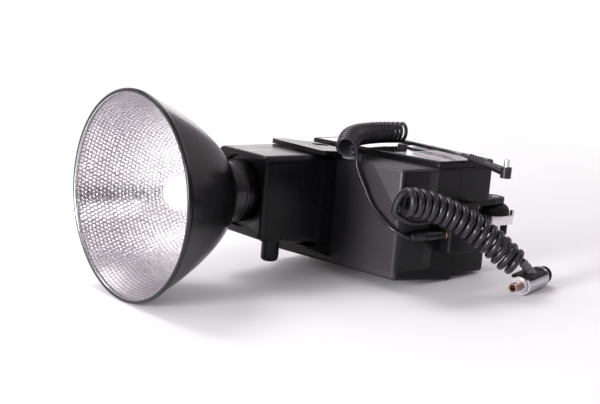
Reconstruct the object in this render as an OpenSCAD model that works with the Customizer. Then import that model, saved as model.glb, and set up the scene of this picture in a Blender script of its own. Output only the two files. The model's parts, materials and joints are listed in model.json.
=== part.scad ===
// Handle-mount photo flash with a round reflector, lying on its side.
// Drawn with the reflector's axis along x: x runs back from the mouth, y is up
// when the flash is in use, z is up as it lies. lay() then leans the whole
// flash until the reflector's rim and the body's back edge both touch z = 0.

/* [Reflector] */
// Diameter across the reflector's mouth
mouth_d = 140; // [130:1:150]
// Depth of the bowl, from the mouth to its small end
bowl_l = 73; // [70:1:76]
// Diameter of the bowl's small end
bowl_neck_d = 40; // [40:0.5:44]
// Wall of the spun bowl
bowl_wall = 1.2; // [0.8:0.1:1.8]
// Thickness of the rolled rim
rim_d = 3.2; // [2.6:0.1:4]
// Diameter of the mounting collar
collar_d = 40.5; // [40:0.5:44]
// Diameter of the collar's spigot in the bayonet ring
spigot_d = 36; // [34:0.5:37]
// Length of the spigot
spigot_l = 6.5; // [6:0.1:7.5]

/* [Flash tube] */
// Diameter of the glass dome over the flash tube
dome_d = 26; // [22:0.5:28]
// Length of the glass dome
dome_l = 56; // [48:1:58]
// Wall of the glass dome
dome_wall = 1.2; // [1:0.1:1.8]
// Diameter of the flash tube's glass
tube_d = 5; // [4:0.2:6]
// Distance between the flash tube's two legs
tube_pitch = 12; // [10:0.5:13]

/* [Head] */
// Front of the head's end cap
head_x = 90; // [89:0.5:91]
// How far the bayonet ring stands out of the end cap
ring_out = 6.4; // [6:0.1:7]
// Height of the head when in use
head_h = 56; // [54:1:58]
// Upper side of the head as it lies
head_top_z = 27.5; // [27:0.1:27.6]
// Lower side of the head at its front end
head_low_z = -30; // [-31:0.5:-29]
// Lower side of the head at the hinge
neck_low_z = -36.3; // [-36.5:0.1:-36]
// Radius of the head's long edges
head_r = 5.5; // [4:0.5:7]
// Thickness of the end cap
cap_l = 4; // [3.5:0.1:5]
// Wall of the head's mouldings
head_wall = 2.2; // [1.8:0.1:2.8]
// Diameter of the round recess in the end cap
recess_d = 50; // [48:0.5:52]
// Diameter of the release knob
knob_d = 12.4; // [11:0.2:13]
// Length of the release knob outside the head
knob_l = 14; // [11:0.5:15]
// Travel of the release knob
knob_travel = 3; // [2:0.5:3.5]

/* [Hinge] */
// Distance of the tilt axis from the reflector's mouth
pivot_x = 159.5; // [158.5:0.5:160.5]
// Diameter of the tilt shaft
shaft_d = 8; // [6:0.5:9]
// Clearance round the head in the body's bay
bay_gap = 0.5; // [0.4:0.1:0.8]
// Height of the hinge's round block inside the head
barrel_top_z = 24; // [23:0.5:24.5]
// Thickness of the upper ear at its front
ear_t = 3.3; // [2.8:0.1:4]

/* [Body] */
// Distance of the body's back from the reflector's mouth
back_x = 251; // [249:0.5:252]
// Joint between the front and the rear shell
seam_x = 217.5; // [216:0.5:219]
// Lower end of the body when in use
foot_y = -85; // [-87:0.5:-84]
// Upper end of the body when in use
crown_y = 30; // [29.5:0.5:32]
// Upper side of the shells as they lie
deck_z = 26; // [25.6:0.1:26.2]
// Joint between the shells and the side cover
parting_z = -45; // [-46:0.5:-44.5]
// Underside of the side cover at its back end
under_z = -50.6; // [-51:0.1:-50]
// Slope of the side cover under the front shell, in degrees
cover_slope = 4.5; // [3:0.5:5]
// Place of the front face at the tilt axis
face_x = 147; // [146:0.1:148]
// Lean of the front face, in degrees
face_lean = 10.3; // [9:0.1:11.5]
// Wall of the shells
wall = 2.5; // [2:0.1:3]
// Radius of the shells' upright corners
body_r = 4; // [3:0.5:5]
// Radius of the shells' long edges
edge_r = 2; // [1.5:0.1:2.4]
// How far the corner guard stands out in front
guard_out = 1; // [0.8:0.1:1.4]
// How far the corner guard stands out at the foot end
guard_foot_out = 1.6; // [1:0.1:1.8]

/* [Control panel] */
// Height of the panel housing above the shells
panel_h = 4.5; // [4.2:0.1:5]
// Front end of the panel housing at the crown
panel_x = 176.5; // [175:0.5:178]
// Front end of the panel housing at the lower end
panel_foot_x = 197; // [195:0.5:200]
// Width of the frame round the glossy panel
frame_w = 3; // [2.5:0.1:4]
// Diameter of the selector knob
selector_d = 7; // [6:0.5:9]
// Height of the selector knob
selector_h = 4; // [3:0.5:5]

/* [Battery compartment] */
// Diameter of one cell
cell_d = 14.5; // [13.5:0.1:14.6]
// Length of one cell
cell_l = 50; // [44:0.5:50.5]
// Width of the sliding lid
lid_w = 38; // [36:1:39]
// Length of the sliding lid
lid_l = 52; // [48:1:54]

/* [Sockets] */
// Front end of the socket housing
socket_x = 202.5; // [201:0.5:204]
// Length of the socket housing
socket_l = 26; // [24:0.5:27]
// How far the socket housing stands out of the body
socket_out = 10.6; // [10.4:0.1:11]
// Upper side of the socket housing
socket_top_z = 2; // [1:0.5:3.5]
// Lower side of the socket housing
socket_low_z = -33; // [-34:0.5:-30]

/* [Foot] */
// Distance of the foot's axis from the reflector's mouth
foot_x = 266; // [264:0.5:268]
// Height of the foot's axis, in use
foot_axis_y = -75; // [-76:0.5:-74]
// Length of the foot plate
plate_l = 23; // [22:0.5:24]
// Width of the foot plate
plate_w = 20; // [18:0.5:22]
// Thickness of the foot plate
plate_t = 7; // [5:0.5:8]
// Diameter of the lock wheel
wheel_d = 23; // [20:0.5:24]
// Height of the lock wheel
wheel_h = 8; // [6:0.5:9]

/* [Cords] */
// Diameter of the thick curly cord
thick_d = 4.8; // [4.4:0.1:4.8]
// Outer diameter of its curls
thick_coil_d = 20.8; // [19:0.1:21]
// Diameter of the thin curly cord
thin_d = 2.9; // [2.4:0.1:3]
// Outer diameter of its curls
thin_coil_d = 16.2; // [14.4:0.2:16.4]
// Diameter of the connector's metal sleeve
sleeve_d = 15; // [14:0.5:16]

/* [Hidden] */
$fn = 48;

// Running clearance of round fits, and the gap left between seated pieces
running = 0.05;
seat = 0.1;
far = 300;

mouth_r = mouth_d / 2;
neck_r = bowl_neck_d / 2;
collar_end = head_x - ring_out - seat;
ring_x = head_x - ring_out;
cap_end = head_x + cap_l;
shell_end = pivot_x - 19.5;
half_h = head_h / 2;
bay_r = half_h + bay_gap;
bay_low_z = neck_low_z - bay_gap;
panel_top = deck_z + panel_h;
glass_t = 1;
glass_z = panel_top - 0.2;
sleeve_r = sleeve_d / 2;

ring_back = cap_end + 4.4;

// The lean that brings the rim and the side cover's low edge onto one plane
rim_r = rim_d / 2;
slope_x = face_x + 15;
slope_l = seam_x - edge_r - slope_x;
lean_x = slope_x + slope_l * cos(cover_slope) + edge_r * sin(cover_slope) - rim_r;
lean_z = mouth_r - rim_r + under_z - slope_l * sin(cover_slope) + edge_r * cos(cover_slope);
lean = atan2(lean_z, lean_x) + asin((rim_r - edge_r) / norm([lean_x, lean_z]));
rest_z = rim_r * sin(lean) + (mouth_r - rim_r) * cos(lean) + rim_r;

// The middle of the flash over the plane it lies on, cords left out
plate_end = foot_x + plate_l / 2;
plate_top_z = deck_z - 22 - 3.5 - wheel_h - seat - 4;
near_x = rim_r * cos(lean) - (mouth_r - rim_r) * sin(lean) - rim_r;
far_x = plate_end * cos(lean) + (plate_top_z + 3.5) * sin(lean);
mid = [(near_x + far_x) / 2, (mouth_r + foot_y - socket_out) / 2];

function laid(p) = [
    p.x * cos(lean) + p.z * sin(lean) - mid.x,
    p.y - mid.y,
    p.z * cos(lean) - p.x * sin(lean) + rest_z
];

module lay() {
    translate([-mid.x, -mid.y, rest_z]) rotate([0, lean, 0]) children();
}

// Turns a profile drawn as [radius, x] round the reflector's axis
module along_x() {
    rotate([0, 90, 0]) rotate_extrude($fn = 96) children();
}

// A tube round the reflector's axis from x0 to x1
module pipe_x(x0, x1, r_out, r_in = 0) {
    along_x() translate([r_in, x0]) square([r_out - r_in, x1 - x0]);
}

module rod(r, z0, z1) {
    translate([0, 0, z0]) cylinder(r = r, h = z1 - z0);
}

module block(x0, x1, y0, y1, z0, z1) {
    translate([x0, y0, z0]) cube([x1 - x0, y1 - y0, z1 - z0]);
}

function unit(v) = v / norm(v);
function turned(a) = a > 180 ? a - 360 : a < -180 ? a + 360 : a;

// The arc that rounds corner b = [x, y, radius] between its neighbours a and c
function corner_arc(a, b, c, steps) =
    let (
        u = unit([a.x - b.x, a.y - b.y]),
        w = unit([c.x - b.x, c.y - b.y]),
        half = acos(u * w) / 2,
        m = [b.x, b.y] + unit(u + w) * b.z / sin(half),
        s = [b.x, b.y] + u * b.z / tan(half) - m,
        e = [b.x, b.y] + w * b.z / tan(half) - m,
        from = atan2(s.y, s.x),
        by = turned(atan2(e.y, e.x) - from)
    )
    [for (k = [0:steps]) m + b.z * [cos(from + by * k / steps), sin(from + by * k / steps)]];

function rounded(pts, steps = 5) = [
    for (i = [0:len(pts) - 1])
        each corner_arc(pts[(i + len(pts) - 1) % len(pts)], pts[i], pts[(i + 1) % len(pts)], steps)
];

// The same corners moved inwards by d, their radii less by as much
function inset(pts, d) = [
    for (i = [0:len(pts) - 1])
        let (
            a = pts[(i + len(pts) - 1) % len(pts)],
            b = pts[i],
            c = pts[(i + 1) % len(pts)],
            u = unit([a.x - b.x, a.y - b.y]),
            w = unit([c.x - b.x, c.y - b.y]),
            q = unit(u + w) * d / sin(acos(u * w) / 2)
        )
        [b.x + q.x, b.y + q.y, max(b.z - d, 0.3)]
];

// Closed solid through a list of rings of equally many points
module loft(rings) {
    n = len(rings[0]);
    top = (len(rings) - 1) * n;
    polyhedron(
        points = [for (ring = rings) each ring],
        faces = concat(
            [[for (i = [0:n - 1]) i]],
            [for (k = [0:n:top - n], i = [0:n - 1])
                let (a = k + i, b = k + (i + 1) % n) each [[a, a + n, b + n], [a, b + n, b]]],
            [[for (i = [n - 1:-1:0]) top + i]]
        ),
        convexity = 6
    );
}

// An outline raised from z0 to z1, its lower and upper edge rounded
module slab(pts, z0, z1, low = 0, high = 0, steps = 3) {
    lows = low > 0 ? [for (k = [0:steps]) [low * (1 - sin(90 * k / steps)), z0 + low * (1 - cos(90 * k / steps))]]
                   : [[0, z0]];
    highs = high > 0 ? [for (k = [0:steps]) [high * (1 - cos(90 * k / steps)), z1 - high * (1 - sin(90 * k / steps))]]
                     : [[0, z1]];
    loft([for (s = concat(lows, highs)) [for (p = rounded(inset(pts, s[0]))) [p.x, p.y, s[1]]]]);
}

// REFLECTOR

// Outer radius of the bowl at a distance x from its mouth
bowl_bend = 2.2;
bowl_apex = bowl_l / (1 - pow(neck_r / mouth_r, bowl_bend));
function bowl_r(x) = mouth_r * pow(1 - x / bowl_apex, 1 / bowl_bend);

module reflector_bowl() {
    steps = 20;
    xs = [for (k = [0:steps]) bowl_l * k / steps];
    flange = bowl_l - bowl_wall;
    inner = [for (k = [steps:-1:0]) let (x = flange * k / steps) [bowl_r(x) - bowl_wall * 1.15, x]];
    color("silver") lay() along_x() union() {
        polygon(concat(
            [for (x = xs) [bowl_r(x), x]],
            [[spigot_d / 2 - 2, bowl_l], [spigot_d / 2 - 2, flange]],
            inner
        ));
        translate([mouth_r - rim_r, rim_r]) circle(r = rim_r, $fn = 24);
    }
}

lug_t = 2.8;
lug_x = collar_end + 3.6;
lug_r = spigot_d / 2 + 2;
ring_r = lug_r + 1.4;
lug_turn = 30;

module bayonet_lugs(x0, x1, r, angle, start) {
    for (k = [0:2])
        rotate([start + 120 * k, 0, 0]) rotate([0, 90, 0]) translate([0, 0, x0])
            rotate_extrude(angle = angle) translate([spigot_d / 2 - 3, 0]) square([r - spigot_d / 2 + 3, x1 - x0]);
}

module reflector_collar() {
    bore_r = dome_d / 2 + 2.5;
    color("#1c1b1d") lay() difference() {
        union() {
            pipe_x(bowl_l, collar_end - 1.5, collar_d / 2);
            pipe_x(collar_end - 1.5, collar_end, collar_d / 2 + 0.8);
            pipe_x(collar_end, collar_end + spigot_l, spigot_d / 2);
            bayonet_lugs(lug_x, lug_x + lug_t, lug_r, 28, 0);
        }
        pipe_x(bowl_l - 1, far, bore_r);
    }
}

// FLASH TUBE

base_x = head_x - 4;
dome_r = dome_d / 2;
dome_start = base_x - dome_l;

module glass_dome() {
    color("#dfe6e8", 0.4) lay() along_x() difference() {
        union() {
            translate([0, dome_start + dome_r]) square([dome_r, dome_l - dome_r]);
            intersection() {
                translate([0, dome_start + dome_r]) circle(r = dome_r);
                translate([0, dome_start]) square([dome_r, dome_r]);
            }
        }
        translate([0, dome_start + dome_r]) square([dome_r - dome_wall, dome_l]);
        intersection() {
            translate([0, dome_start + dome_r]) circle(r = dome_r - dome_wall);
            square([dome_r, dome_start + dome_r]);
        }
    }
}

module flash_tube() {
    bend_x = dome_start + 12;
    color("#f2efe6") lay() {
        for (side = [-1, 1])
            translate([0, side * tube_pitch / 2, 0]) pipe_x(bend_x, base_x + 4, tube_d / 2);
        translate([bend_x, 0, 0]) rotate([0, 0, 90]) rotate_extrude(angle = 180)
            translate([tube_pitch / 2, 0]) circle(d = tube_d);
    }
}

module tube_base() {
    color("#d8d4cc") lay() difference() {
        union() {
            pipe_x(base_x, ring_back + 4, dome_r + 1);
            pipe_x(ring_back, ring_back + 4, ring_r + 1.6);
        }
        for (side = [-1, 1])
            translate([0, side * tube_pitch / 2, 0]) pipe_x(base_x - 1, base_x + 4.2, tube_d / 2 + running);
    }
}

module bayonet_ring() {
    bore = spigot_d / 2 + running;
    groove = lug_r + running;
    color("#a9a9ab") lay() difference() {
        union() {
            pipe_x(ring_x, cap_end, ring_r);
            pipe_x(cap_end, ring_back, ring_r + 3);
        }
        pipe_x(ring_x - 1, far, bore);
        pipe_x(lug_x - 0.1, lug_x + lug_t + 0.3, groove);
        bayonet_lugs(ring_x - 1, lug_x + 1, groove + 0.2, 29, lug_turn);
    }
}

// HEAD

// Ring across the head at x, with its sides drawn in by d
function head_ring(x, d) =
    let (
        low = head_low_z + (neck_low_z - head_low_z) * (x - head_x) / (shell_end - head_x),
        r = max(head_r - d, 0.5)
    )
    [for (p = rounded([[-half_h + d, low + d, r], [half_h - d, low + d, r],
                       [half_h - d, head_top_z - d, r], [-half_h + d, head_top_z - d, r]]))
        [x, p.x, p.y]];

module head_block(x0, x1, d = 0, front_r = 0) {
    rounding = front_r > 0
        ? [for (k = [0:3]) head_ring(x0 + front_r * (1 - cos(30 * k)), d + front_r * (1 - sin(30 * k)))]
        : [head_ring(x0, d)];
    loft(concat(rounding, [head_ring(x1, d)]));
}

module end_cap() {
    color("#201f22") lay() difference() {
        head_block(head_x, cap_end, 0, 2.5);
        pipe_x(head_x - 1, head_x + cap_l - 1.4, recess_d / 2);
        pipe_x(head_x - 1, far, ring_r + running);
    }
}

knob_x = 110;
knob_y = -14;
guide_r = knob_d / 2 + 1.8;
knob_seat_z = head_low_z + (neck_low_z - head_low_z) * (knob_x - head_x) / (shell_end - head_x);
part_y = 9;
groove_w = 0.4;

// The head's walls between the end cap and the hinge, open at both ends
module head_walls() {
    difference() {
        head_block(cap_end + 0.2, shell_end);
        head_block(cap_end - 1, shell_end + 1, head_wall);
        translate([knob_x, knob_y, 0]) rod(guide_r + running, -far, 0);
    }
}

module head_shell_upper() {
    color("#232225") lay() intersection() {
        head_walls();
        block(0, far, part_y + groove_w / 2, far, -far, far);
    }
}

module head_shell_lower() {
    color("#232225") lay() intersection() {
        head_walls();
        block(0, far, -far, part_y - groove_w / 2, -far, far);
    }
}

module tilt_barrel() {
    hollow = half_h - 4;
    color("#1d1c1f") lay() difference() {
        union() {
            translate([pivot_x, 0, 0]) rod(half_h, neck_low_z, barrel_top_z, $fn = 96);
            block(shell_end, pivot_x, -half_h, half_h, neck_low_z, barrel_top_z);
        }
        translate([pivot_x, 0, 0]) rod(hollow, neck_low_z + 4, barrel_top_z - 4);
        block(shell_end + 3, pivot_x, -hollow, hollow, neck_low_z + 4, barrel_top_z - 4);
        block(0, shell_end, -far, far, -far, far);
        translate([pivot_x, 0, 0]) {
            rod(shaft_d / 2 + running, -far, far);
            rod(washer_r + seat, barrel_top_z - 0.8, far);
            rod(washer_r + seat, -far, neck_low_z + 0.8);
        }
    }
}

coil_x = shell_end - 32.5;

module trigger_coil() {
    color("#6b3a1f") lay() {
        translate([coil_x, half_h - 12, -8]) rotate([0, 90, 0]) {
            rod(6, 1.5, 19.5);
            rod(7.6, 0, 1.5);
            rod(7.6, 19.5, 21);
        }
        block(coil_x - 1.5, shell_end, half_h - 16, half_h - 8, -19, -15.3);
        block(coil_x, coil_x + 21, half_h - 14, half_h - 10, -15.3, -13);
    }
}

guide_low_z = knob_seat_z - 1.4;

module knob_guide() {
    color("#2b2a2d") lay() translate([knob_x, knob_y, 0]) difference() {
        rod(guide_r, guide_low_z, guide_low_z + 11);
        rod(knob_d / 2 + running, -far, guide_low_z + 7);
        rod(knob_d / 2 - 1.5 + running, -far, far);
    }
}

knob_end_z = guide_low_z - knob_l;
knob_stem_z = guide_low_z + 7 - knob_travel - 0.3;

module release_knob() {
    color("#232225") lay() translate([knob_x, knob_y, 0]) {
        rotate_extrude() polygon(concat(
            [for (a = [-90:15:0]) [knob_d / 2 - 3 + 3 * cos(a), knob_end_z + 3 + 3 * sin(a)]],
            [[knob_d / 2, knob_stem_z], [knob_d / 2 - 1.5, knob_stem_z],
             [knob_d / 2 - 1.5, knob_stem_z + 9], [0, knob_stem_z + 9], [0, knob_end_z]]
        ));
    }
}

// HINGE

washer_r = 11;
boss_low_z = barrel_top_z + bay_gap;
ear_z = head_top_z + bay_gap;
ear_top_z = ear_z + ear_t;
ear_front_x = pivot_x - 24;
ear_step_x = pivot_x + 7;
ear_end_x = pivot_x + bay_r - 12.5;
ear_near_y = -32;
ear_swing_y = 17.5;
shaft_low_z = bay_low_z - 5;
shaft_top_z = ear_top_z - 2.8;

module tilt_shaft() {
    color("#b4b4b8") lay() translate([pivot_x, 0, 0]) {
        rod(shaft_d / 2, shaft_low_z, shaft_top_z);
        rod(shaft_d / 2 + 2, shaft_top_z, shaft_top_z + 0.6);
    }
}

module friction_washers() {
    color("#c9b48a") lay() translate([pivot_x, 0, 0]) difference() {
        union() {
            rod(washer_r, barrel_top_z - 0.8, boss_low_z - seat);
            rod(washer_r, bay_low_z + seat, neck_low_z + 0.8);
        }
        rod(shaft_d / 2 + running, -far, far);
    }
}

// Turns a profile drawn as [x, z] into a solid from y0 to y1
module across_y(y0, y1) {
    translate([0, y1, 0]) rotate([90, 0, 0]) linear_extrude(y1 - y0) children();
}

// Corners of the upper ear, seen along z
ear_pts = [
    [ear_front_x, ear_near_y, 2.5], [ear_front_x + 14, ear_near_y, 5], [ear_end_x - 8, -16, 5],
    [ear_end_x, -6, 4], [ear_end_x, ear_swing_y, 3], [ear_front_x + 22, ear_swing_y, 3],
    [ear_front_x + 14, half_h - 1, 4], [ear_front_x, half_h - 1, 4]
];

// The body's outline up to the deck, less the head's room
module deck_solid() {
    difference() {
        translate([0, 0, -far]) linear_extrude(far + deck_z) polygon(rounded(body_pts));
        head_bay(0);
    }
}

module ear_upper() {
    color("#232225") lay() difference() {
        intersection() {
            slab(ear_pts, boss_low_z - 1, far, 0, 0);
            union() {
                across_y(-half_h * 2, half_h) polygon([
                    [ear_front_x - 1, ear_z], [ear_front_x - 1, ear_top_z], [ear_front_x + 3, ear_top_z],
                    [ear_step_x, ear_top_z - 1.7], [ear_end_x + 1, deck_z + 0.5], [ear_end_x + 1, boss_low_z],
                    [ear_step_x, boss_low_z], [ear_step_x, ear_z]
                ]);
                translate([pivot_x, 0, 0]) rod(ear_swing_y, boss_low_z, ear_z);
                block(face_x, ear_step_x, ear_near_y, -bay_r, deck_z, ear_z);
            }
        }
        deck_solid();
        translate([pivot_x, 0, 0]) rod(shaft_d / 2 + running, -far, far);
        translate([pivot_x, 0, 0]) rod(shaft_d / 2 + 2 + running, shaft_top_z, far);
    }
}

module ear_lower() {
    front = ear_front_x - 4;
    back = face_x + half_h * face_slope + 3;
    color("#232225") lay() difference() {
        across_y(-half_h, half_h - 1) polygon([
            [front, bay_low_z], [front, bay_low_z - 1], [front + 20, parting_z], [back, parting_z],
            [back, bay_low_z]
        ]);
        linear_extrude(2 * far, center = true) polygon(rounded(body_pts));
    }
}

// BODY

face_slope = tan(face_lean);
// Corners of the shells, seen along z
body_pts = [
    [face_x - foot_y * face_slope, foot_y, body_r],
    [back_x, foot_y, body_r],
    [back_x, crown_y, body_r + 2],
    [face_x - crown_y * face_slope, crown_y, body_r]
];

// The room in which the head turns, grown by d
module head_bay(d) {
    z0 = bay_low_z - d;
    translate([pivot_x, 0, 0]) rod(bay_r + d, z0, far, $fn = 96);
    block(-1, pivot_x, -bay_r - d, far, z0, far);
    block(-1, pivot_x + bay_r + d, 0, far, z0, far);
}

notch_x = back_x - 17;
notch_y = foot_y + 33;
notch_top_z = 1.5;

// The bay at the back for the foot, grown by d
module foot_bay(d) {
    block(notch_x - d, far, -far, notch_y + d, socket_low_z - d, notch_top_z + d);
}

screw_pts = [
    [face_x + 15.5, foot_y + 23], [seam_x + 6, foot_y + 5.5], [back_x - 5.5, notch_y + 5.5],
    [back_x - 5.5, crown_y - 5.5], [seam_x - 24, crown_y - 5.5]
];
boss_r = 3.4;
screw_r = 1.5;

// Slopes a piece of the side cover down towards the seam
module sloped() {
    translate([slope_x, 0, under_z]) rotate([0, cover_slope, 0]) translate([-slope_x, 0, -under_z]) children();
}

// Underside of the side cover at a distance x from the reflector's mouth
function base_z(x) = x > seam_x ? under_z : under_z - (x - slope_x) * tan(cover_slope);

module shells() {
    difference() {
        slab(body_pts, parting_z - 8, deck_z, 0, edge_r);
        difference() {
            slab(inset(body_pts, wall), parting_z - 9, deck_z - wall, 0, 0);
            head_bay(wall);
            foot_bay(wall);
            for (p = screw_pts) translate(p) rod(boss_r, parting_z - 9, parting_z + 12);
        }
        head_bay(0);
        foot_bay(0);
        for (p = screw_pts) translate(p) rod(screw_r + running, parting_z - 9, base_z(p.x) + 15);
    }
}

module main_shell() {
    color("#28272b") lay() difference() {
        intersection() {
            shells();
            block(0, seam_x, -far, far, -far, far);
            sloped() block(0, far, -far, far, parting_z, far);
        }
        translate([pivot_x, 0, 0]) rod(shaft_d / 2 + running, -far, far);
        panel_openings();
    }
}

module rear_shell() {
    color("#28272b") lay() difference() {
        intersection() {
            shells();
            block(seam_x + 0.3, far, -far, far, parting_z, far);
        }
        panel_openings();
        flange_screws(screw_r + running, notch_top_z - 1, notch_top_z + wall + 1);
    }
}

lid_x = seam_x - 30 - lid_w / 2;
lid_end_y = foot_y + lid_l;
lid_t = 2.4;

cover_floor_z = under_z + lid_t + 2.2;

// The lid's outline with its guide ribs, grown by d
module lid_form(d) sloped() {
    block(lid_x - d, lid_x + lid_w + d, -far, lid_end_y + d, under_z - 1, under_z + lid_t);
    block(lid_x - 1.5 - d, lid_x + lid_w + 1.5 + d, -far, lid_end_y + d,
          under_z + lid_t - d, under_z + lid_t + 1.3 + d);
}

// Corners of the side cover's sloped part, which ends at the seam
slope_pts = [body_pts[0], [seam_x, foot_y, 0.5], [seam_x, crown_y, 0.5], body_pts[3]];

// The side cover's outside, and the floor that stands up inside the shells
module cover_form() {
    sloped() slab(slope_pts, under_z, parting_z - seat, edge_r, 0);
    intersection() {
        slab(body_pts, under_z, parting_z - seat, edge_r, 0);
        block(seam_x, far, -far, far, -far, far);
    }
    difference() {
        slab(inset(body_pts, wall + seat), cover_floor_z - 3, cover_floor_z, 0, 0);
        for (p = screw_pts) translate(p) rod(boss_r + seat, -far, far);
    }
}

module side_cover() {
    color("#222124") lay() difference() {
        cover_form();
        slab(inset(body_pts, wall), cover_floor_z, far, 0, 0);
        lid_form(0.15);
        block(lid_x + 3, lid_x + lid_w - 3, foot_y + wall, lid_end_y - 3, -far, 0);
        for (p = screw_pts) translate([p.x, p.y, base_z(p.x)]) {
            rod(screw_r + running, -far, far);
            rod(screw_head_r + running, -far, 2.4);
        }
    }
}

module battery_lid() {
    color("#222124") lay() difference() {
        intersection() {
            sloped() slab(slope_pts, under_z, parting_z, edge_r, 0);
            lid_form(0);
        }
        sloped() for (k = [0:5])
            block(lid_x + 12, lid_x + lid_w - 12, foot_y + 8 + 2 * k, foot_y + 9 + 2 * k, -far, under_z + 0.5);
    }
}

screw_head_r = 2.6;

module case_screws() {
    color("#55565a") lay() for (p = screw_pts) translate([p.x, p.y, base_z(p.x)]) difference() {
        union() {
            rod(screw_r, 2.4, 14.5);
            rod(screw_head_r, 0.6, 2.4);
        }
        for (a = [0, 90]) rotate(a) block(-1.8, 1.8, -0.3, 0.3, 0, 1.5);
    }
}

guard_end_x = face_x + 39;
groove_top = [foot_y + 24.5, deck_z];
groove_low = [foot_y + 1, -4];
// The cover moulded over the front corner and the foot end, outlined along z
guard_pts = [
    [face_x - foot_y * face_slope - guard_out, foot_y - guard_foot_out, body_r],
    [guard_end_x, foot_y - guard_foot_out, 1.5], [guard_end_x + 11, foot_y + 0.1, 0.5],
    [guard_end_x, foot_y + 8, 1], [guard_end_x - 12, foot_y + 30, 1],
    [face_x - groove_top.x * face_slope - guard_out, groove_top.x, 0.5]
];

module corner_guard() {
    color("#35343a") lay() difference() {
        slab(guard_pts, parting_z + 1, deck_z - 0.5, 0.4, 1.5);
        linear_extrude(2 * far, center = true) polygon(rounded(body_pts));
        rotate([90, 0, 90]) linear_extrude(face_x - foot_y * face_slope + 1)
            polygon([[groove_top.x, groove_top.y], [groove_low.x, groove_low.y], [groove_low.x - 9, -far], [far, -far]]);
    }
}

// CONTROL PANEL

// Corners of the panel housing, its front edge slanted like the body's face
panel_pts = [
    [panel_foot_x, foot_y, 3], [back_x, foot_y, 3],
    [back_x, crown_y, 5], [panel_x, crown_y, 3]
];
selector_at = [back_x - 42, foot_y + 52];
slide_at = [back_x - 13, foot_y + 77];
button_at = [back_x - 8.5, foot_y + 56];
slide_l = 9;
slide_w = 4;
slide_travel = 4;
button_d = 6;

// Openings for the controls, through the housing and the shells
module panel_openings() {
    translate(selector_at) rod(2 + running, 0, far);
    translate(button_at) rod(button_d / 2 - 1 + running, 0, glass_z - 2);
    block(slide_at.x - 1.5, slide_at.x + 1.5, slide_at.y - 3 - slide_travel, slide_at.y + 3 + slide_travel,
          0, glass_z - 1);
}

module panel_housing() {
    color("#1f1e21") lay() difference() {
        slab(panel_pts, deck_z, panel_top, 0, 1.4);
        slab(inset(panel_pts, frame_w), glass_z - glass_t, far, 0, 0);
        panel_openings();
        translate(button_at) rod(button_d / 2 + running, glass_z - 2.6, far);
    }
}

module panel_glass() {
    color("#c9ccd2") lay() difference() {
        slab(inset(panel_pts, frame_w + seat), glass_z - glass_t, glass_z, 0, 0);
        panel_openings();
        translate(button_at) rod(button_d / 2 + running, 0, far);
        block(slide_at.x - slide_w / 2 - seat, slide_at.x + slide_w / 2 + seat,
              slide_at.y - slide_l / 2 - slide_travel - seat, slide_at.y + slide_l / 2 + slide_travel + seat, 0, far);
    }
}

module selector_knob() {
    color("#8d8c90") lay() translate(selector_at) difference() {
        union() {
            rod(selector_d / 2, glass_z + seat, glass_z + seat + selector_h);
            rod(2, deck_z - wall - 2, glass_z + seat);
        }
        block(-0.4, 0.4, 0, far, glass_z + selector_h - 0.6, far);
    }
}

module mode_slide() {
    color("#1a1a1c") lay() translate(slide_at) {
        block(-slide_w / 2, slide_w / 2, -slide_l / 2, slide_l / 2, glass_z - glass_t + seat, glass_z + 0.8);
        block(-slide_w / 2, slide_w / 2, -1, 1, glass_z + 0.8, glass_z + 1.6);
        block(-1.4, 1.4, -2.8, 2.8, deck_z - wall - 2, glass_z - glass_t + seat);
    }
}

module test_button() {
    color("#b9302a") lay() translate(button_at) {
        rod(button_d / 2, glass_z - 1.4, glass_z + 1.2);
        rod(button_d / 2 - 1, deck_z - wall - 2, glass_z - 1.4);
    }
}

// INSIDE

cell_y = foot_y + 54;
cell_x0 = lid_x + 11.5;
cell_z0 = cover_floor_z + 9.7;

module cell_places() {
    for (i = [0:1], k = [0:1])
        translate([cell_x0 + i * (cell_d + 1), cell_y, cell_z0 + k * (cell_d + 1)]) rotate([90, 0, 0]) children();
}

module battery_cells() {
    color("#9a8f5a") lay() cell_places() {
        cylinder(d = cell_d, h = cell_l - 1);
        cylinder(d = 5, h = cell_l);
    }
}

module battery_tray() {
    tray_w = 2 * (cell_d + 1) + 4;
    color("#3a3a3e") lay() difference() {
        translate([cell_x0 + cell_d / 2 + 0.5, 0, 0])
            block(-tray_w / 2, tray_w / 2, foot_y + wall, cell_y - 4,
                  cell_z0 - cell_d / 2 + 2, cell_z0 + 1.5 * cell_d + 3);
        cell_places() translate([0, 0, -1]) cylinder(d = cell_d + 0.4, h = cell_l + 2);
        translate([cell_x0 + cell_d / 2 + 0.5, 0, 0]) block(-9, 9, cell_y - cell_l + 12, cell_y - 14, -far, far);
    }
}

module capacitor() {
    color("#2c3f6b") lay() translate([back_x - 22, crown_y - 31, 0]) {
        rod(15, cover_floor_z, -2);
        rod(3, -2, 2);
    }
}

module transformer() {
    color("#b8a23c") lay() translate([seam_x - 24.5, crown_y - 30, cover_floor_z]) {
        block(0, 15, 0, 17, 0, 16);
        block(3, 12, -3, 20, 3, 13);
    }
}

module main_board() {
    x0 = seam_x - 27;
    x1 = back_x - 5;
    pts = [[x0, foot_y + 7, 2], [x1, foot_y + 7, 2], [x1, crown_y - 4, 2], [x0, crown_y - 4, 2]];
    color("#2f6b3c") lay() difference() {
        slab(pts, deck_z - wall - 5.6, deck_z - wall - 4, 0, 0);
        head_bay(wall + 1);
    }
}

// SOCKETS

socket_mid_y = foot_y - socket_out / 2;
socket_end = socket_x + socket_l;
jack_z = -19.5;
gland_z = -8.5;

socket_pts = [
    [socket_x, foot_y - socket_out, 2], [socket_end, foot_y - socket_out, 2],
    [socket_end, foot_y, 0.4], [socket_x, foot_y, 0.4]
];

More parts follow.
